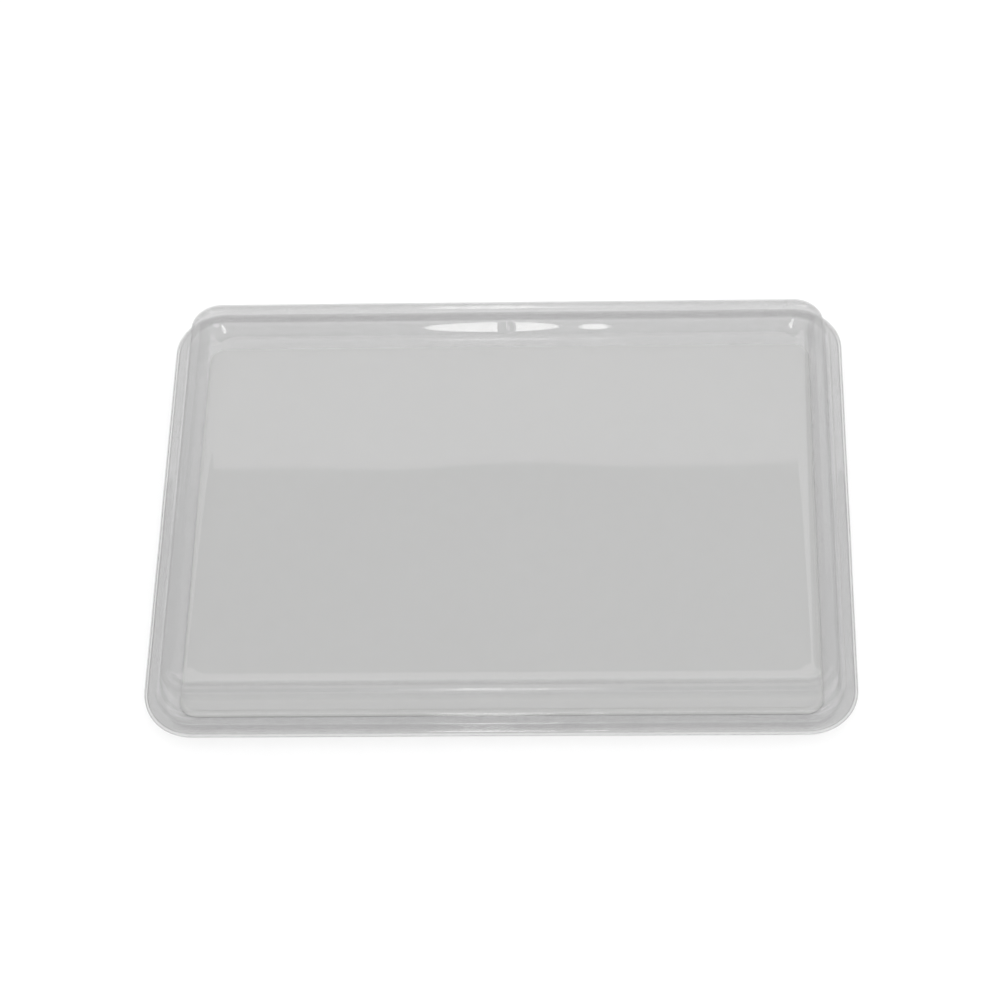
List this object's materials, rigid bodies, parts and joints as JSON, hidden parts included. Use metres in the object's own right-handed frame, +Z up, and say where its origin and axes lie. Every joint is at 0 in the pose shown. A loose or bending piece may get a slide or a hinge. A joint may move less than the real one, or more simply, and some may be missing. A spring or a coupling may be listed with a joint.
{
  "type": "wet palette",
  "caption": "Clear rectangular wet palette: a shallow tray with a damp sponge and palette paper under a lift-off lid with a raised bead and a recessed top panel.",
  "frame": {"origin": "middle of the underside of the tray, on the surface the palette stands on", "axes": "+X along the width, +Y towards the back edge, +Z up"},
  "size_m": [0.406, 0.305, 0.038],
  "materials": {
    "tray_plastic": "clear, glossy, vacuum-formed sheet",
    "lid_plastic": "clear, glossy, vacuum-formed sheet",
    "sponge": "fine open-cell sponge sheet, damp",
    "paper": "translucent grease-proof sheet"
  },
  "bodies": {
    "base_tray": {"base_tray": "tray_plastic"},
    "reservoir_sponge": {"reservoir_sponge": "sponge"},
    "palette_paper": {"palette_paper": "paper"},
    "lid": {"lid": "lid_plastic"}
  },
  "joints": [
    {"name": "lid_lift", "type": "slide", "parent": "base_tray", "child": "lid", "axis": [0, 0, 1], "range_m": [0, 0.12]},
    {"name": "sponge_lift", "type": "slide", "parent": "base_tray", "child": "reservoir_sponge", "axis": [0, 0, 1], "range_m": [0, 0.01]},
    {"name": "paper_lift", "type": "slide", "parent": "reservoir_sponge", "child": "palette_paper", "axis": [0, 0, 1], "range_m": [0, 0.008]}
  ]
}
